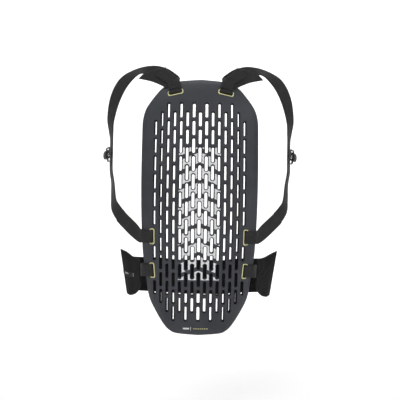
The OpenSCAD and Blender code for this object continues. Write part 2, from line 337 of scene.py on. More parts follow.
def knit_fabric(name, color):
    """Padded knit: small diamond cells, soft sheen."""
    n = Nodes(name)
    where = n.coords("Object")
    x, y, z = n.axes(where)
    run = n.math("SUBTRACT", n.math("MULTIPLY", y, 0.75), n.math("MULTIPLY", x, 0.65))
    cell = 0.0016
    a = n.math("SINE", n.math("MULTIPLY", n.math("ADD", run, z), math.pi * 2 / cell))
    b = n.math("SINE", n.math("MULTIPLY", n.math("SUBTRACT", run, z), math.pi * 2 / cell))
    knit = n.math("MULTIPLY", a, b)
    fuzz = n.noise(where, 2600, 2)
    dye = n.noise(where, 45, 4)
    dark = tuple(c * 0.6 for c in color)
    light = tuple(c * 1.35 for c in color)
    shade = n.mix(n.ramp(knit, -0.8, 0.8), dark, light)
    shade = n.mix(n.math("MULTIPLY", n.ramp(dye, 0.4, 0.7), 0.4), shade, light)
    n.set(Base_Color=shade, Roughness=n.ramp(fuzz, 0.2, 0.8, 0.7, 0.9))
    n.shader.inputs["Sheen Weight"].default_value = 0.04
    n.shader.inputs["Sheen Roughness"].default_value = 0.5
    n.shader.inputs["Specular IOR Level"].default_value = 0.15
    n.bump([(knit, 0.3), (fuzz, 0.2)], 0.0004)
    return n.mat


def pile(name, color, scale, rough):
    """Hook or loop fastener: a dense field of small tufts."""
    n = Nodes(name)
    where = n.coords("Object")
    tuft = n.add("ShaderNodeTexVoronoi")
    n.link(where, tuft.inputs["Vector"])
    tuft.inputs["Scale"].default_value = scale
    fuzz = n.noise(where, 2400, 3)
    dark = tuple(c * 0.5 for c in color)
    light = tuple(c * 1.7 for c in color)
    n.set(Base_Color=n.mix(n.ramp(tuft.outputs["Distance"], 0.05, 0.5), light, dark),
          Roughness=n.ramp(fuzz, 0.2, 0.8, rough, rough + 0.15))
    n.bump([(tuft.outputs["Distance"], 0.7), (fuzz, 0.3)], 0.0006)
    return n.mat


CHARCOAL = (0.059, 0.063, 0.073)
PLATE = moulded_plastic("plate_plain", CHARCOAL)
PLATE_FACE = moulded_plastic("plate_face", CHARCOAL, printed=True)
# The slot walls: the plate's foam made darker and duller, painted shade for the dark inside of the holes
SLOT_WALL_SHADE = moulded_plastic("slot_wall_painted_shade", (0.018, 0.02, 0.023), rough=0.85, specular=0.08)
LINER = glossy_plastic("liner_yellow", (0.98, 0.93, 0.45), 0.32)
WEB = woven("webbing_black", (0.036, 0.036, 0.0365), sheen=0.12)
THREAD = woven("thread_black", (0.035, 0.035, 0.036), 0.0006, 0.0006, 0.1)
BUCKLE = glossy_plastic("buckle_black", (0.07, 0.07, 0.072), 0.22)
ELASTIC = woven("elastic_black", (0.01, 0.01, 0.0103), 0.0028, 0.0011, 0.1, 0.5, 0.55)
WING = knit_fabric("wing_knit", (0.014, 0.014, 0.0143))
BINDING = woven("binding_black", (0.014, 0.014, 0.0145), 0.0009, 0.0007, 0.08)
HOOK = pile("hook_black", (0.03, 0.03, 0.031), 900, 0.45)
LOOP = pile("loop_black", (0.038, 0.038, 0.039), 700, 0.75)
LABEL_TAPE = woven("label_tape", (0.03, 0.03, 0.031), 0.0007, 0.0005, 0.12, 0.3, 0.25)
# Grey for the tab's bar and line: a painted highlight for the glints on the label
LABEL_GLINT_GREY = woven("label_grey", (0.45, 0.45, 0.46), 0.0007, 0.0005, 0.12, 0.3, 0.25)


# ---- Plate ----------------------------------------------------------------

def slot_list():
    """Every hole as (x, z, width, length, tilt in degrees)."""
    slots = []
    for k in range(-OUTER_COLUMN, OUTER_COLUMN + 1):
        odd = abs(k) % 2 == 1
        rows = range(12)
        if abs(k) == OUTER_COLUMN:
            rows = [1, 2, 3, 4, 5, 6, 8, 10]
        elif abs(k) == OUTER_COLUMN - 1:
            rows = range(11)
        for row in rows:
            z = (ODD_TOP_Z if odd else EVEN_TOP_Z) - row * SLOT_PITCH_Z
            slots.append((k * SLOT_PITCH_X, z, SLOT_W - SLOT_NARROWING * abs(k), SLOT_LEN, 0.0))
    for x, z, tilt in WEB_SLOTS.values():
        for side in (1, -1):
            slots.append((x * side, z, WEB_SLOT_W + 2 * LINER_T, WEB_SLOT_LEN + 2 * LINER_T, tilt * side))
    return slots


def stadium(width, length, grow, arc=9):
    """Outline of a slot, grown outwards, anticlockwise."""
    r = width / 2 + grow
    h = (length - width) / 2
    points = []
    for i in range(arc):
        a = math.pi * i / (arc - 1)
        points.append((r * math.cos(a), h + r * math.sin(a)))
    points += [(-r, h * t) for t in (0.5, 0, -0.5)]
    for i in range(arc):
        a = math.pi + math.pi * i / (arc - 1)
        points.append((r * math.cos(a), -h + r * math.sin(a)))
    points += [(r, h * t) for t in (-0.5, 0, 0.5)]
    return np.array(points)


def web_hole(grow, arc=5):
    """Outline of a webbing slot, a rounded rectangle, grown outwards, anticlockwise."""
    r = WEB_SLOT_CORNER + grow
    w, h = WEB_SLOT_W / 2 + grow - r, WEB_SLOT_LEN / 2 + grow - r
    points = []
    for quarter, (x, y) in enumerate([(w, h), (-w, h), (-w, -h), (w, -h)]):
        for i in range(arc):
            a = math.pi / 2 * (quarter + i / (arc - 1))
            points.append((x + r * math.cos(a), y + r * math.sin(a)))
    return np.array(points)


def placed(points, x, z, tilt):
    a = math.radians(tilt)
    c, s = math.cos(a), math.sin(a)
    return points @ np.array([[c, s], [-s, c]]) + (x, z)


def slot_distance(points, slots):
    """Distance of each point to the nearest slot's edge, negative inside one."""
    best = np.full(len(points), 1e9)
    for x, z, w, length, tilt in slots:
        a = math.radians(tilt)
        d = points - (x, z)
        u = d[:, 0] * math.cos(a) + d[:, 1] * math.sin(a)
        v = -d[:, 0] * math.sin(a) + d[:, 1] * math.cos(a)
        over = np.maximum(np.abs(v) - (length - w) / 2, 0)
        best = np.minimum(best, np.hypot(u, over) - w / 2)
    return best


def outline_loop(steps=3):
    half = spline(OUTLINE_HALF, steps)
    return np.vstack([half, half[-2:0:-1] * (-1, 1)])


def inset_loop(loop, inset):
    ahead, behind = np.roll(loop, -1, 0), np.roll(loop, 1, 0)
    along = unit(ahead - behind)
    inward = np.stack([along[:, 1], -along[:, 0]], 1)
    return loop + inward * inset


def edge_distance(points, loop):
    best = np.full(len(points), 1e9)
    for a, b in zip(loop, np.roll(loop, -1, 0)):
        ab = b - a
        t = np.clip(((points - a) @ ab) / (ab @ ab), 0, 1)
        best = np.minimum(best, np.linalg.norm(points - (a + t[:, None] * ab), axis=1))
    return best


def inside_loop(points, loop):
    x, z = points[:, 0], points[:, 1]
    hit = np.zeros(len(points), bool)
    for (x0, z0), (x1, z1) in zip(loop, np.roll(loop, -1, 0)):
        if z0 == z1:
            continue
        crosses = ((z0 > z) != (z1 > z)) & (x < (x1 - x0) * (z - z0) / (z1 - z0) + x0)
        hit ^= crosses
    return hit


# How far the outer and the body face fall away at each distance in from the rim
RIM_INSETS = [0, 0.5, 1.3, 2.6, 4.5, 6.5, 8, 9]
OUTER_DROP = [6.2, 4.6, 3.5, 2.6, 1.9, 1.1, 0.35, 0]
BODY_DROP = [4.0, 2.4, 1.4, 0.7, 0.3, 0.1, 0, 0]
# And at each distance from a slot's edge
LIP_GROWS = [0, 0.3, 0.8, 1.5]
LIP_DROP = [0.9, 0.4, 0.12, 0]
PRINT_CLEAR = 1.2  # the print stops this far from a slot
# Draft from both faces to a parting line half way through, by column from the middle, in mm
PINCH = [0.6, 0.7, 0.95, 1.1, 1.25, 1.4, 1.95, 1.6]
LOW_START, LOW_FULL, LOW_PINCH = -150.0, -185.0, 0.22  # and more of it low down, per column


def build_plate():
    """The perforated pad: a flat triangulation of its face, laid on both curved faces and
    walled round its rim and its holes."""
    slots = slot_list()
    loop = outline_loop()
    points, edges = [], []

    def add_loop(p):
        base = len(points)
        points.extend(map(tuple, p))
        count = len(p)
        edges.extend((base + i, base + (i + 1) % count) for i in range(count))
        return list(range(base, base + count))

    rim = [add_loop(inset_loop(loop, inset)) for inset in RIM_INSETS]
    holes = []
    for x, z, w, length, tilt in slots:
        if w < NARROW:
            rings = [stadium(w, length, g) for g in LIP_GROWS]
        else:
            rings = [web_hole(LINER_T), web_hole(LINER_T + 1.2)]
        holes.append([add_loop(placed(ring, x, z, tilt)) for ring in rings])
    grid = np.array([(x, z) for x in np.arange(-102, 103, 6) for z in np.arange(-240, 241, 8)])
    grid = grid[inside_loop(grid, loop)]
    grid = grid[(edge_distance(grid, loop) > 15) & (slot_distance(grid, slots) > 2.3)]
    points.extend(map(tuple, grid))

    co, _, tris, origin, _, _ = delaunay_2d_cdt([Vector(p) for p in points], edges, [], 0, 1e-5)
    flat = np.array([tuple(c) for c in co])
    tris = np.array([t for t in tris if len(t) == 3])
    mid = flat[tris].mean(axis=1)
    keep = inside_loop(mid, loop) & (slot_distance(mid, slots) > 0)
    tris = tris[keep]
    new_index = {old: i for i, olds in enumerate(origin) for old in olds}

    own_slots = [s for s in slots if s[2] < NARROW]
    lip = slot_distance(flat, own_slots)
    rim_d = edge_distance(flat, loop)
    outer = np.interp(rim_d, RIM_INSETS, OUTER_DROP) + np.interp(lip, LIP_GROWS, LIP_DROP)
    body = np.interp(rim_d, RIM_INSETS, BODY_DROP) + np.interp(lip, LIP_GROWS, LIP_DROP)
    x, z = flat[:, 0], flat[:, 1]
    front = np.stack([x, plate_y(x, z, PLATE_T - outer), z], 1)
    back = np.stack([x, plate_y(x, z, body), z], 1)
    count = len(flat)
    verts = [front, back]
    faces, slots_of = [], []
    ab, ac = flat[tris[:, 1]] - flat[tris[:, 0]], flat[tris[:, 2]] - flat[tris[:, 0]]
    area = ab[:, 0] * ac[:, 1] - ab[:, 1] * ac[:, 0]
    tris[area < 0] = tris[area < 0][:, ::-1]
    faces += tris.tolist()
    printed = slot_distance(flat[tris].mean(axis=1), own_slots) > PRINT_CLEAR
    slots_of += printed.astype(int).tolist()
    faces += (tris[:, ::-1] + count).tolist()
    slots_of += [0] * len(tris)

    def wall(ring, outward, material, waist=None):
        """Joins a front ring of vertices to the back one, through a waist where one is given."""
        nonlocal count_all
        ids = np.array([new_index[i] for i in ring])
        a, b = front[ids], back[ids]
        rings = [ids]
        for t in (0.09, 0.5, 0.91) if waist is not None else (0.09, 0.91):
            between = a + (b - a) * t
            if t == 0.5:
                between[:, 0], between[:, 2] = waist[:, 0], waist[:, 1]
            verts.append(between)
            rings.append(np.arange(count_all, count_all + len(ids)))
            count_all += len(ids)
        rings.append(ids + count)
        for r0, r1 in zip(rings, rings[1:]):
            for i in range(len(ids)):
                j = (i + 1) % len(ids)
                quad = [r0[i], r0[j], r1[j], r1[i]]
                faces.append([int(q) for q in (quad if outward else quad[::-1])])
                slots_of.append(material)

    count_all = 2 * count
    wall(rim[0], True, 0)
    for hole, (x, z, w, length, tilt) in zip(holes, slots):
        column = round(abs(x) / SLOT_PITCH_X)
        low = min(max((z - LOW_START) / (LOW_FULL - LOW_START), 0), 1)
        pinch = min(PINCH[column] + low * LOW_PINCH * column, w / 2 - 0.15)
        waist = placed(stadium(w, length, -pinch), x, z, tilt) if w < NARROW else None
        # Material 2 on the hole walls is the darker copy of the plate, painted shade inside the holes
        wall(hole[0], True, 2, waist)
    plate = add_mesh("back_plate_shell", np.vstack(verts), faces, slots=slots_of)
    plate.data.materials.append(PLATE)
    plate.data.materials.append(PLATE_FACE)
    plate.data.materials.append(SLOT_WALL_SHADE)
    tidy_normals(plate)
    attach(plate, "protector")
    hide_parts("back_plate")


def tidy_normals(obj):
    """Merges doubled points, drops loose ones and turns every face outwards."""
    bm = bmesh.new()
    bm.from_mesh(obj.data)
    bmesh.ops.remove_doubles(bm, verts=bm.verts, dist=1e-6)
    loose = [v for v in bm.verts if not v.link_faces]
    bmesh.ops.delete(bm, geom=loose, context="VERTS")
    bmesh.ops.recalc_face_normals(bm, faces=bm.faces)
    bm.to_mesh(obj.data)
    bm.free()


build_plate()


def build_liner(key, side_name):
    """A moulded trim ring in a webbing slot, with a rounded lip on both faces."""
    side = SIDES[side_name]
    x, z, tilt = WEB_SLOTS[key]
    section = [  # grow beyond the slot, distance out from the plate's outer or body face
        (0.0, -0.3), (0.2, 0.5), (0.6, 0.8), (1.1, 0.85), (1.6, 0.6), (1.8, 0.1), (1.8, -1.0),
    ]
    profile = [(g, PLATE_T + out) for g, out in section]
    profile += [(g, -out) for g, out in reversed(section)]
    rings = []
    for grow, off in profile:
        ring = placed(web_hole(grow), x, z, tilt)
        rings.append(np.stack([ring[:, 0], plate_y(ring[:, 0], ring[:, 1], off), ring[:, 1]], 1))
    n = len(rings[0])
    verts = flipped(np.vstack(rings), side)
    faces = []
    for i in range(len(rings)):
        k = (i + 1) % len(rings)
        for j in range(n):
            faces.append([i * n + j, i * n + (j + 1) % n, k * n + (j + 1) % n, k * n + j])
    liner = add_mesh(f"{key}_slot_liner_{side_name}", verts, faces)
    liner.data.materials.append(LINER)
    tidy_normals(liner)
    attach(liner, "protector")
    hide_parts(f"{key}_liner_{side_name}")


for side_name in SIDES:
    for key in WEB_SLOTS:
        build_liner(key, side_name)


# ---- Webbing --------------------------------------------------------------

def ribbon(name, stations, material, thick=WEB_T, steps=8, across=6):
    """A flat strip between two edges, with rounded selvedges and cloth UVs along and across it."""
    a = spline([s[0] for s in stations], steps)
    b = spline([s[1] for s in stations], steps)
    mid = (a + b) / 2
    along = unit(np.gradient(mid, axis=0))
    normal = unit(np.cross(b - a, along))
    width = np.linalg.norm(b - a, axis=1)
    run = np.concatenate([[0], np.cumsum(np.linalg.norm(np.diff(mid, axis=0), axis=1))])
    half = thick / 2
    bevel = min(half, 0.7)
    inner = [(f, 0, half) for f in np.linspace(0, 1, across + 1)[1:-1]]
    top = [(0.0, bevel, half)] + inner + [(1.0, -bevel, half)]
    section = [(0.0, 0, half * 0.35)] + top + [(1.0, 0, half * 0.35), (1.0, 0, -half * 0.35)]
    section += [(f, i, -h) for f, i, h in reversed(top)] + [(0.0, 0, -half * 0.35)]
    back_cloth = 40  # keeps the back's cloth clear of the front's
    verts, uvs = [], []
    for i in range(len(mid)):
        reach = (b[i] - a[i]) / width[i]
        for f, inset, h in section:
            verts.append(a[i] + reach * (f * width[i] + inset) + normal[i] * h)
            uvs.append((f * width[i] + inset + (back_cloth if h < 0 else 0), run[i]))
    n = len(section)
    faces = []
    for i in range(len(mid) - 1):
        for j in range(n):
            k = (j + 1) % n
            faces.append([i * n + j, i * n + k, (i + 1) * n + k, (i + 1) * n + j])
    faces.append(list(range(n))[::-1])
    faces.append([(len(mid) - 1) * n + j for j in range(n)])
    obj = add_mesh(name, verts, faces, uvs)
    obj.data.materials.append(material)
    tidy_normals(obj)
    return obj


def stitches(name, rows, side, length=2.6, gap=1.3, radius=0.28):
    """Thread laid along each row of points: one short raised stitch after another."""
    parts = []
    for row in rows:
        p = flipped(np.array(row, float), side)
        p = spline(p, 12)
        run = np.concatenate([[0], np.cumsum(np.linalg.norm(np.diff(p, axis=0), axis=1))])
        for start in np.arange(0, run[-1] - length, length + gap):
            ends = [np.array([np.interp(start + d, run, p[:, k]) for k in range(3)]) for d in (0, length)]
            parts.append(stitch(ends[0], ends[1], radius))
    obj = join(name, parts)
    obj.data.materials.append(THREAD)
    tidy_normals(obj)
    return obj


def stitch(a, b, radius):
    along = unit(b - a)
    side = unit(np.cross(along, [0.31, 0.17, 0.93]))
    up = np.cross(side, along)
    verts, faces = [a], []
    for t, r in ((0.18, 0.8), (0.5, 1.0), (0.82, 0.8)):
        for k in range(6):
            ang = math.pi * k / 3
            verts.append(a + (b - a) * t + (side * math.cos(ang) + up * math.sin(ang)) * radius * r)
    verts.append(b)
    for k in range(6):
        j = (k + 1) % 6
        faces.append([0, 1 + j, 1 + k])
        for ring in (1, 7):
            faces.append([ring + k, ring + j, ring + 6 + j, ring + 6 + k])
        faces.append([13 + k, 13 + j, 19])
    return verts, faces


class Slot:
    """Where webbing lies as it leaves a slot on the left side: along the reach to the rim, rim
    millimetres away, on the plate's outer or body face, sloping and leaning with the plate."""

    def __init__(self, key, mid_y, rim, across, reach, swap=False):
        x, z, _ = WEB_SLOTS[key]
        self.rim = rim
        self.centre = np.array([x, mid_y, z])
        self.across, self.reach = np.array(across), np.array(reach)
        self.swap = swap

    def at(self, run, out, half=WEB_W / 2 - 0.2):
        """Edge pair at a distance from the slot and out from the plate's middle surface."""
        c = self.centre + self.reach * run + np.array([0, out, 0])
        pair = (c + self.across * half, c - self.across * half)
        return pair[::-1] if self.swap else pair

    def spot(self, run, out, part):
        """A point on the webbing, part of its half width across."""
        return self.centre + self.reach * run + self.across * WEB_W / 2 * part + np.array([0, out, 0])

    def box(self, near, far, out, part=0.8):
        """Rows of a box stitch with a cross in it."""
        a, b = self.spot(near, out, -part), self.spot(near, out, part)
        c, d = self.spot(far, out, part), self.spot(far, out, -part)
        return [[a, b], [b, c], [c, d], [d, a], [a, c], [b, d]]


FACE = PLATE_T / 2 + 1.25
TOP = Slot("top", 16.35, 24.8, (0.98, -0.096, 0.2), (-0.2, 0.2456, 0.98))
SIDE = Slot("side", 7.15, 21.3, (0, -0.19, 1), (-1, 0.264, 0), swap=True)
BELT = Slot("belt", 24.0, 17.6, (-0.07, -0.268, 1), (-1, 0.2586, 0))

UPPER = [
    [[-41.2, 19.5, 251], [-66.7, 19.5, 245.6]], [[-53, 17, 260], [-77, 17, 249]],
    [[-68, 17, 268], [-88, 17, 251]], [[-93, 21, 273], [-98, 19, 251]],
    [[-125, 31, 269], [-117, 19, 256]], [[-158, 40, 253], [-141, 29, 236]],
    [[-179, 52, 221], [-159, 42, 208]], [[-188, 66, 180], [-171, 50, 172]],
    [[-186.5, 80, 152], [-174.5, 59, 150]], [[-184.7, 83.6, 136], [-175.3, 60.4, 136]],
    [[-184.7, 83.6, 105], [-175.3, 60.4, 105]],
]
LOWER = [
    [[-184.7, 83.6, 105], [-175.3, 60.4, 105]], [[-184.7, 83.6, 74], [-175.3, 60.4, 74]],
    [[-180.5, 79, 48], [-170.5, 56.5, 48]], [[-178, 66, 18], [-165, 45, 18]],
    [[-174, 52, -8], [-158, 39, 6]], [[-156.5, 37, -32], [-142, 28, -11.5]],
    [[-130, 21, -55], [-121.5, 17, -29.5]], [[-114, 16.5, -66], [-113, 15, -39]],
]
TOP_FOLD = [
    [[-45, 10.2, 247], [-68.5, 10.2, 239]], [[-50.5, 10, 251], [-73.5, 10, 241.5]],
    [[-58, 10, 256.5], [-79, 10.3, 245]], [[-68, 11, 267.9], [-88, 11.5, 252]],
]
TOP_TAIL = [
    [[-58, 12.8, 253], [-64.5, 11.4, 226.5]], [[-70, 12.8, 263], [-77.5, 12.2, 233.5]],
    [[-84, 12.5, 265], [-93, 12.8, 239.7]], [[-96, 13.5, 260.5], [-106, 14, 243]],
    [[-111, 15.5, 254.6], [-119.5, 16, 245.9]],
]
SIDE_TAIL = [
    [[-162, 38.5, -27], [-147, 29, -5]], [[-155, 34, -34], [-140, 24.5, -13.5]],
    [[-130, 18, -55.5], [-121.5, 14, -29.5]], [[-114, 9, -66], [-113, 7.5, -39]],
]


def build_shoulder_strap(side_name):
    side = SIDES[side_name]

    def go_with(obj, body):
        if body == "blend_top":
            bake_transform(obj)
        elif body == "blend_side":
            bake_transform(obj)
        else:
            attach(obj, body)

    def web(name, stations, body, *replaced):
        obj = ribbon(f"{name}_{side_name}", flipped(stations, side), WEB)
        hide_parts(*[f"{node}_{side_name}" for node in replaced])
        go_with(obj, body)

    loop = [TOP.at(0, 8), TOP.at(0, 0), TOP.at(0.1, -7), TOP.at(0.9, -FACE + 0.4),
            TOP.at(3.2, -FACE),
            TOP.at(12, -FACE), TOP.at(TOP.rim - 1, -FACE), TOP.at(TOP.rim + 2.6, -FACE + 1.5),
            TOP.at(TOP.rim + 4.2, -FACE + 6)]
    web("top_loop", loop, "protector", "top_loop")
    over = -FACE - 2.1
    fold = [TOP.at(7.5, over, 12.1), TOP.at(13, over, 12.1), TOP.at(19, over, 12)] + TOP_FOLD
    web("top_fold", fold, "blend_top")
    web("top_tail", TOP_TAIL, "blend_top", "top_tail")
    main = [TOP.at(-1.8, -4), TOP.at(-1.8, 4), TOP.at(-1.2, 8.6), TOP.at(2, FACE), TOP.at(12, FACE),
            TOP.at(20.5, FACE), TOP.at(25, FACE - 4)] + UPPER
    web("upper_strap", main, "blend_top", "upper_strap")
    tail = SIDE_TAIL + [SIDE.at(SIDE.rim - 2, -FACE), SIDE.at(12, -FACE), SIDE.at(3.2, -FACE),
                        SIDE.at(0.9, -FACE + 0.4), SIDE.at(0.1, -7), SIDE.at(0, 0), SIDE.at(0, 8)]
    web("side_tail", tail, "blend_side", "side_tail", "side_loop")
    main = LOWER + [SIDE.at(SIDE.rim + 2, FACE - 3), SIDE.at(SIDE.rim - 2, FACE),
                    SIDE.at(12, FACE), SIDE.at(2, FACE),
                    SIDE.at(-1.2, 8.6), SIDE.at(-1.8, 4), SIDE.at(-1.8, -4)]
    web("lower_strap", main, "blend_side", "lower_strap")
    above = -FACE - WEB_T / 2 - 0.1
    thread = stitches(f"strap_stitches_{side_name}",
                      TOP.box(9, 17, over - WEB_T / 2 - 0.1) + SIDE.box(6, 18, above), side)
    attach(thread, "protector")


for side_name in SIDES:
    build_shoulder_strap(side_name)


# ---- Adjusters ------------------------------------------------------------

ADJUSTER_AT = np.array([-180.0, 72.0, 105.0])
ADJUSTER_TURN = math.radians(22)
OUTWARDS = np.array([-math.cos(ADJUSTER_TURN), -math.sin(ADJUSTER_TURN), 0])
ALONG_BARS = np.array([math.sin(ADJUSTER_TURN), -math.cos(ADJUSTER_TURN), 0])
BAR_OUT, BAR_R, FRAME_H, FRAME_LEAN = 5.6, 1.6, 30.0, 0.12
FOLD = [
    (2.7, 1.6), (3.1, 4), (6.5, 6.4), (10.4, 7), (12.8, 3.5), (13.4, -2), (12.4, -7),
    (9.6, -8.6), (6.2, -6.6), (3.1, -4), (2.7, -1.6),
]


def on_strap(out, across, up):
    """A point from the adjuster's middle: outwards from the strap, along the bars and up."""
    return ADJUSTER_AT + OUTWARDS * out + ALONG_BARS * across + np.array([0, 0, up])


def adjuster_frame(side):
    """A slim moulded ring swept round a rounded rectangle, its lower end leaning in."""
    half_w, half_h, corner = WEB_W / 2 + 2.5, FRAME_H / 2 - BAR_R, 5.0
    path = []
    for quarter, (x, z) in enumerate([(1, 1), (-1, 1), (-1, -1), (1, -1)]):
        for i in range(8):
            a = math.pi / 2 * (quarter + i / 7)
            path.append((x * (half_w - corner) + corner * math.cos(a),
                         z * (half_h - corner) + corner * math.sin(a)))
    path = np.array(path)
    ahead, behind = np.roll(path, -1, 0), np.roll(path, 1, 0)
    along = unit(ahead - behind)
    sideways = np.stack([along[:, 1], -along[:, 0]], 1)
    verts, faces, n = [], [], 16
    for (x, z), off, tangent in zip(path, sideways, along):
        depth = 1.6 + 0.4 * abs(tangent[1])
        for k in range(n):
            a = 2 * math.pi * k / n
            c, s = math.cos(a), math.sin(a)
            u = math.copysign(abs(c) ** 0.7, c) * 1.5
            v = math.copysign(abs(s) ** 0.7, s) * depth
            verts.append(on_strap(BAR_OUT + FRAME_LEAN * z + v, x + off[0] * u, z + off[1] * u))
    count = len(path)
    for i in range(count):
        for k in range(n):
            j, m = (i + 1) % count, (k + 1) % n
            faces.append([i * n + k, i * n + m, j * n + m, j * n + k])
    return flipped(verts, side), faces


def grip_bar(side):
    """The middle bar, with fine ribs that bite the webbing."""
    rings, n = 40, 12
    reach = WEB_W / 2 + 1
    verts, faces = [], []
    for i in range(rings + 1):
        x = -reach + 2 * reach * i / rings
        r = BAR_R - (0.2 if i % 2 else 0.0)
        for k in range(n):
            a = 2 * math.pi * k / n
            verts.append(on_strap(BAR_OUT + r * math.cos(a), x, r * math.sin(a)))
    for i in range(rings):
        for k in range(n):
            m = (k + 1) % n
            faces.append([i * n + k, i * n + m, (i + 1) * n + m, (i + 1) * n + k])
    faces += [list(range(n)), [rings * n + k for k in range(n)]]
    return flipped(verts, side), faces


def build_adjuster(side_name):
    side = SIDES[side_name]
    body = f"adjuster_{side_name}"

    def place(obj, node, slot):
        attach(obj, body)
        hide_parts(f"{node}_{side_name}")

    for node, make in (("adjuster_frame", adjuster_frame), ("adjuster_bar", grip_bar)):
        verts, faces = make(side)
        obj = add_mesh(f"{node}_{side_name}", verts, faces)
        obj.data.materials.append(BUCKLE)
        tidy_normals(obj)
        place(obj, node, "buckle")
    half = WEB_W / 2
    stations = [(on_strap(out, half, up), on_strap(out, -half, up)) for out, up in FOLD]
    fold = ribbon(f"webbing_fold_{side_name}", flipped(stations, side), WEB, steps=5)
    place(fold, "webbing_fold", "webbing")


for side_name in SIDES:
    build_adjuster(side_name)


# ---- Belt -----------------------------------------------------------------

WING_SHAPE = [
    [[-111, 28.5, -104.5], [-110, 29, -143]], [[-118, 35, -100.5], [-114.5, 36, -159]],
    [[-129.5, 46, -98], [-123, 47, -170]], [[-143, 57.5, -90.5], [-134.5, 57.5, -175]],
    [[-156, 68.5, -86.5], [-142, 68.5, -173.5]],
]
RIGHT_WING_TOP = [-100, -98.5, -96.5, -91, -86.5]
WING_LIFT = -1.5
CHANNEL = 0.86  # where the sewn channel runs down the wing
# The elastic starts inside the wing's outer edge, where it is sewn in
BAND_START = [
    [[-154, 66.8, -89.5], [-141, 66.8, -170]], [[-149, 92, -101], [-143, 92, -172]],
    [[-126, 114, -106.5], [-124, 114, -178]], [[-86, 131, -109.5], [-86, 131, -183]],
]
BELLY_TOP, BELLY_BOTTOM, BELLY_FLAT, BAND_T = -115.0, -188.0, 900.0, 3.0
BELLY_Y = {"left": 146.0, "right": 138.5}
PATCH_T, PATCH_SEAM, PATCH_MARGIN = 1.0, 0.06, 8.0


def wing_surface(along, down, out, side_name="left"):
    """A wing point, as on the left: 0 to 1 from the plate outwards, 0 to 1 down, out to the front."""
    tops = [s[0] for s in WING_SHAPE]
    if side_name == "right":
        tops = [[x, y, z] for (x, y, _), z in zip(tops, RIGHT_WING_TOP)]
    a, b = spline(tops, 12), spline([s[1] for s in WING_SHAPE], 12)
    mid = (a + b) / 2
    normal = unit(np.cross(b - a, np.gradient(mid, axis=0)))
    at = along * (len(a) - 1)
    index = np.arange(len(a))
    top, bottom, away = [np.array([np.interp(at, index, rows[:, k]) for k in range(3)])
                         for rows in (a, b, normal)]
    return top + (bottom - top) * down - away * (out - WING_LIFT)


def build_wing(side_name):
    """Foam between two knitted faces: a crowned pad, blown out a little as cloth between its seams."""
    side = SIDES[side_name]
    body = f"belt_{side_name}"
    cols, rows = 25, 33
    front, back = [], []
    for i in range(cols):
        for j in range(rows):
            along, down = i / (cols - 1), j / (rows - 1)
            edge = min(along, 1 - along, down, 1 - down)
            channel = math.exp(-((along - CHANNEL) / 0.02) ** 2)
            half = 0.9 + 1.5 * min(edge / 0.12, 1) ** 0.5 - 0.9 * channel
            front.append(wing_surface(along, down, half, side_name))
            back.append(wing_surface(along, down, -half, side_name))
    verts = flipped(front + back, side)
    faces, base = [], cols * rows
    for i in range(cols - 1):
        for j in range(rows - 1):
            quad = [i * rows + j, i * rows + j + 1, (i + 1) * rows + j + 1, (i + 1) * rows + j]
            faces += [quad, [q + base for q in quad[::-1]]]
    border = [i * rows for i in range(cols)] + [(cols - 1) * rows + j for j in range(1, rows)]
    border += [i * rows + rows - 1 for i in range(cols - 2, -1, -1)] + list(range(rows - 2, 0, -1))
    for p, q in zip(border, border[1:] + border[:1]):
        faces.append([p, q, q + base, p + base])
    wing = add_mesh(f"belt_wing_{side_name}", verts, faces)
    wing.data.materials.append(WING)
    tidy_normals(wing)
    pinned = []
    for k in range(2):
        for i in range(cols):
            for j in range(rows):
                along = i / (cols - 1)
                if i in (0, cols - 1) or j in (0, rows - 1) or abs(along - CHANNEL) < 0.025:
                    pinned.append(k * base + i * rows + j)
    puff(wing, pinned, 0.0022)
    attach(wing, body)
    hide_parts(f"belt_wing_{side_name}")

    outer = [wing_surface(1, t, 0, side_name) for t in np.linspace(0, 1, 9)]
    lower = [wing_surface(t, 1, 0, side_name) for t in np.linspace(1, 0.05, 9)]
    upper = [wing_surface(t, 0, 0, side_name) for t in np.linspace(0.05, 1, 9)]
    for name, line in (("outer", outer), ("lower", lower), ("upper", upper)):
        obj = binding(f"wing_binding_{name}_{side_name}", flipped(line, side))
        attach(obj, body)
    seams = [[wing_surface(CHANNEL, t, 1.9, side_name) for t in np.linspace(0.03, 0.97, 9)],
             [wing_surface(0.955, t, 2.3, side_name) for t in np.linspace(0.02, 0.98, 9)]]
    thread = stitches(f"wing_stitches_{side_name}", seams, side, 2.4, 1.2, 0.25)
    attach(thread, body)


def puff(obj, pinned, cap):
    """Inflates the pad as cloth for a few frames with its seams pinned, and keeps the result."""
    rest = np.array([v.co[:] for v in obj.data.vertices])
    group = obj.vertex_groups.new(name="seams")
    group.add(pinned, 1.0, "REPLACE")
    cloth = obj.modifiers.new("cloth", "CLOTH")
    cloth.settings.use_pressure = True
    cloth.settings.uniform_pressure_force = 4
    cloth.settings.effector_weights.gravity = 0
    cloth.settings.vertex_group_mass = "seams"
    cloth.settings.pin_stiffness = 1
    cloth.settings.quality = 6
    scene = bpy.context.scene
    for step in range(1, 16):
        scene.frame_set(step)
    shaped = obj.evaluated_get(bpy.context.evaluated_depsgraph_get())
    moved = np.array([v.co[:] for v in shaped.data.vertices]) - rest
    scene.frame_set(1)
    obj.modifiers.remove(cloth)
    far = np.linalg.norm(moved, axis=1, keepdims=True)
    moved *= np.minimum(1, cap / np.maximum(far, 1e-9))
    obj.data.vertices.foreach_set("co", (rest + moved).ravel())
    obj.vertex_groups.clear()
    smooth = obj.modifiers.new("subdivision", "SUBSURF")
    smooth.levels = smooth.render_levels = 1


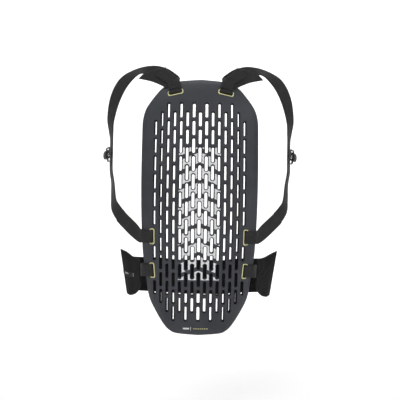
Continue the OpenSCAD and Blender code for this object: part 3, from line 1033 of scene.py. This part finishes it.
def binding(name, line):
    """Folded tape round an edge: a flattened tube along it."""
    p = spline(line, 4)
    along = unit(np.gradient(p, axis=0))
    front = np.array([0.0, -1.0, 0.0])
    across = unit(np.cross(along, front))
    up = np.cross(across, along)
    n, verts, faces, uvs = 12, [], [], []
    run = np.concatenate([[0], np.cumsum(np.linalg.norm(np.diff(p, axis=0), axis=1))])
    for i in range(len(p)):
        for k in range(n):
            a = 2 * math.pi * k / n
            verts.append(p[i] + across[i] * 1.3 * math.cos(a) + up[i] * 1.75 * math.sin(a))
            uvs.append((k * 0.9, run[i]))
    for i in range(len(p) - 1):
        for k in range(n):
            m = (k + 1) % n
            faces.append([i * n + k, i * n + m, (i + 1) * n + m, (i + 1) * n + k])
    faces += [list(range(n)), [(len(p) - 1) * n + k for k in range(n)]]
    obj = add_mesh(name, verts, faces, uvs)
    obj.data.materials.append(BINDING)
    tidy_normals(obj)
    return obj


def belly_station(x, y0, trim=0.0):
    y = y0 - x * x / BELLY_FLAT
    return [[x, y, BELLY_TOP - trim], [x, y, BELLY_BOTTOM + trim]]


def build_belt(side_name):
    side = SIDES[side_name]
    belt = f"belt_{side_name}"
    band = BAND_START + [belly_station(x, BELLY_Y[side_name]) for x in range(-45, 39, 15)]
    obj = ribbon(f"belly_band_{side_name}", flipped(band, side), ELASTIC, BAND_T, steps=8, across=14)
    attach(obj, belt)
    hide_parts(f"belly_band_{side_name}")
    build_wing(side_name)

    def web(name, stations, *replaced):
        obj = ribbon(f"{name}_{side_name}", flipped(stations, side), WEB)
        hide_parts(*[f"{node}_{side_name}" for node in replaced])
        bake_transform(obj)

    front = [BELT.at(0, 8), BELT.at(0, 0), BELT.at(0.1, -7), BELT.at(0.9, -FACE + 0.4),
             BELT.at(3.2, -FACE),
             BELT.at(12, -FACE), BELT.at(BELT.rim - 1, -FACE),
             [[-109.6, 21.5, -108.5], [-109, 24, -133.2]], [[-114.5, 32.5, -109], [-113.5, 34, -133.8]]]
    web("belt_webbing", front, "belt_loop")
    back = [BELT.at(-1.8, -4), BELT.at(-1.8, 4), BELT.at(-1.2, 8.6), BELT.at(2, FACE), BELT.at(10, FACE),
            BELT.at(BELT.rim - 2, FACE),
            [[-109.5, 36, -108.5], [-109, 37, -133]], [[-115, 40, -109], [-114, 41, -133.5]]]
    web("belt_webbing_inner", back)


def build_patch(name, side_name, node, lift, material):
    stations = [belly_station(x, BELLY_Y[side_name] + lift, PATCH_MARGIN) for x in range(-30, 31, 15)]
    obj = ribbon(name, stations, material, PATCH_T, steps=6, across=14)
    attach(obj, f"belt_{side_name}")
    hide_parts(node)


def build_label():
    """A small folded tab on the left wing: a black tape, with a grey bar and line on it that are painted
    highlights for the tab's glints.
    """
    def strip(name, start, stop, top, bottom, material, thick, out):
        stations = [(wing_surface(t, top, out), wing_surface(t, bottom, out))
                    for t in np.linspace(start, stop, 5)]
        obj = ribbon(name, stations, material, thick, steps=3, across=4)
        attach(obj, "belt_left")
        return obj

    tab = strip("wing_label_left", 0.38, 0.93, 0.43, 0.555, LABEL_TAPE, 0.9, 3.4)
    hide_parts("wing_label_left")
    # The grey bar and line paint the glints on the tab: painted highlights
    strip("wing_label_glint_bar", 0.68, 0.83, 0.47, 0.5, LABEL_GLINT_GREY, 0.5, 3.85)
    strip("wing_label_glint_line", 0.44, 0.46, 0.445, 0.54, LABEL_GLINT_GREY, 0.5, 3.85)


for side_name in SIDES:
    build_belt(side_name)
between = (BAND_T + PATCH_T) / 2 + PATCH_SEAM
build_patch("hook_patch_left", "left", "hook_patch_left", -between, HOOK)
build_patch("loop_patch_right", "right", "loop_patch_right", between, LOOP)
build_label()


# ---- Stage ----------------------------------------------------------------

def pale_floor():
    """Matt painted board, very faintly uneven."""
    n = Nodes("pale_floor")
    cloud = n.noise(n.coords("Object"), 3, 2)
    n.set(Base_Color=n.mix(cloud, (0.85, 0.85, 0.85), (0.88, 0.88, 0.88)), Roughness=0.9)
    return n.mat


FLOOR_DROP, BACKDROP_R = 160, 1200


def build_stage():
    """A pale floor that curves up into a backdrop well behind the object."""
    floor_z = CAD_BOX[0][2] / MM - FLOOR_DROP
    bend_y, front_y, wall_top, half_width = 1400, -2600, 3800, 4200
    profile = [(front_y, floor_z), (bend_y, floor_z)]
    profile += [(bend_y + BACKDROP_R * math.sin(a), floor_z + BACKDROP_R * (1 - math.cos(a)))
                for a in np.linspace(0.1, math.pi / 2, 14)]
    profile.append((bend_y + BACKDROP_R, wall_top))
    verts, faces = [], []
    for y, z in profile:
        verts += [(-half_width, y, z), (half_width, y, z)]
    for i in range(len(profile) - 1):
        faces.append([2 * i, 2 * i + 1, 2 * i + 3, 2 * i + 2])
    floor = add_mesh("floor", verts, faces)
    floor.data.materials.append(pale_floor())


def area_light(name, place, target, size, power):
    data = bpy.data.lights.new(name, "AREA")
    data.shape = "RECTANGLE"
    data.size, data.size_y = size
    data.energy = power
    light = bpy.data.objects.new(name, data)
    light.location = place
    light.rotation_euler = (Vector(target) - Vector(place)).to_track_quat("-Z", "Y").to_euler()
    bpy.context.collection.objects.link(light)


def build_lights():
    world = bpy.data.worlds.new("studio")
    world.use_nodes = True
    world.node_tree.nodes["Background"].inputs[0].default_value = (1, 1, 1, 1)
    world.node_tree.nodes["Background"].inputs[1].default_value = 0.25
    bpy.context.scene.world = world
    area_light("key", (-1.0, -1.3, 1.9), (0, 0, 0.05), (1.3, 1.3), 18.5)
    area_light("fill", (1.3, -1.4, 0.9), (0, 0, 0.05), (1.2, 1.2), 8.5)
    area_light("top", (0, 0.2, 1.9), (0, 0, 0), (1.6, 1.0), 11)
    area_light("backdrop", (0, 0.9, 1.6), (0, 2.6, 0), (3.0, 1.0), 62)
    bpy.context.scene.view_settings.view_transform = "Standard"


def build_camera():
    """Straight on to the outer face, 0.9 m from the plate's body side."""
    distance, width_seen, roll = 0.9, 0.7524, math.radians(0.77)
    centre_x, centre_z = 0.0012, 0.0155
    data = bpy.data.cameras.new("photo_view")
    data.sensor_width = 36
    data.lens = 36 * distance / width_seen
    camera = bpy.data.objects.new("photo_view", data)
    camera.matrix_world = (Matrix.Translation((centre_x, -distance, centre_z))
                           @ Matrix.Rotation(math.pi / 2, 4, "X") @ Matrix.Rotation(roll, 4, "Z"))
    bpy.context.collection.objects.link(camera)
    bpy.context.scene.camera = camera


build_stage()
build_lights()
build_camera()
